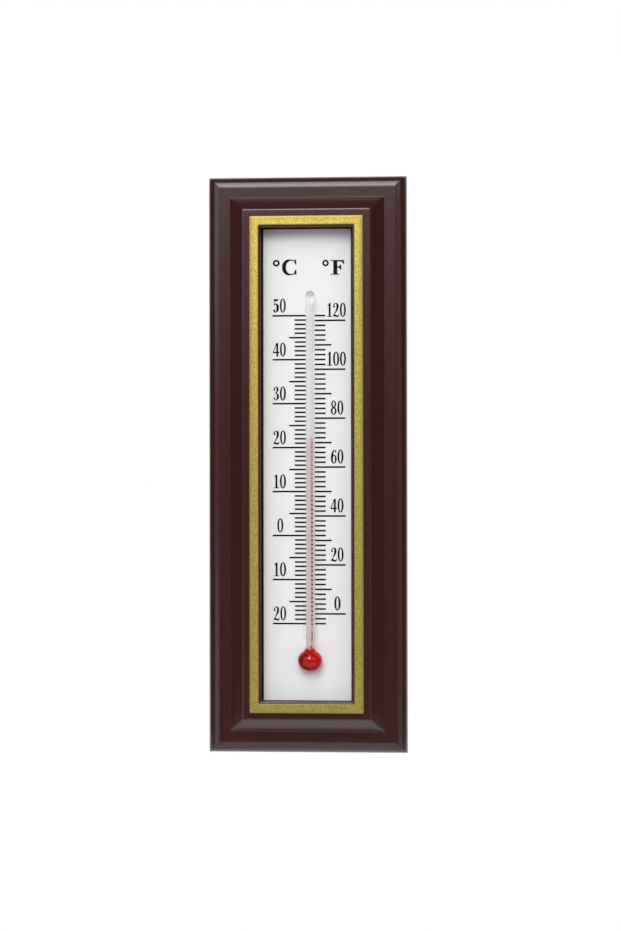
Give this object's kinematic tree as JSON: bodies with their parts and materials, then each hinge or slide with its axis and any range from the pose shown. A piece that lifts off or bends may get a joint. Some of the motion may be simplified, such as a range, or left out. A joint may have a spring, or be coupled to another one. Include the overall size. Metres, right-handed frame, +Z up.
{
  "type": "wall thermometer",
  "caption": "Upright wall thermometer: stepped brown frame with a gilt slip, recessed white plate with Celsius and Fahrenheit scales, and a red spirit tube.",
  "frame": {"origin": "middle of the keyhole's round entry, on the wall side of the back cover", "axes": "+Z up along the height, +X to the right seen from the front, -Y out of the front, away from the wall"},
  "size_m": [0.0672, 0.0154, 0.195],
  "materials": {
    "frame_plastic": "satin moulded plastic, dark red-brown",
    "cover_plastic": "fine-grained moulded plastic, dark brown",
    "gilt": "grainy gold paint",
    "plate_white": "smooth white enamel",
    "tape": "matt foam tape",
    "ink": "matt printed ink",
    "tube_glass": "clear drawn glass",
    "red_spirit": "clear liquid dyed red",
    "clear_adhesive": "clear set adhesive",
    "screw_steel": "zinc plated"
  },
  "bodies": {
    "housing": {"front_frame": "frame_plastic", "gilt_slip": "gilt", "back_cover": "cover_plastic", "cover_screw_upper_left": "screw_steel", "cover_screw_upper_right": "screw_steel", "cover_screw_lower_left": "screw_steel", "cover_screw_lower_right": "screw_steel", "scale_plate": "plate_white", "plate_tape_left": "tape", "plate_tape_right": "tape", "celsius_scale": "ink", "fahrenheit_scale": "ink", "glass_tube": "tube_glass", "bulb_spirit": "red_spirit", "upper_adhesive": "clear_adhesive", "lower_adhesive": "clear_adhesive"},
    "spirit_column": {"spirit_thread": "red_spirit", "meniscus": "red_spirit"}
  },
  "joints": [
    {"name": "spirit_level", "type": "slide", "parent": "housing", "child": "spirit_column", "axis": [0, 0, 1], "range_m": [-0.06216, 0.04144], "deforming": ["spirit_thread"]}
  ]
}
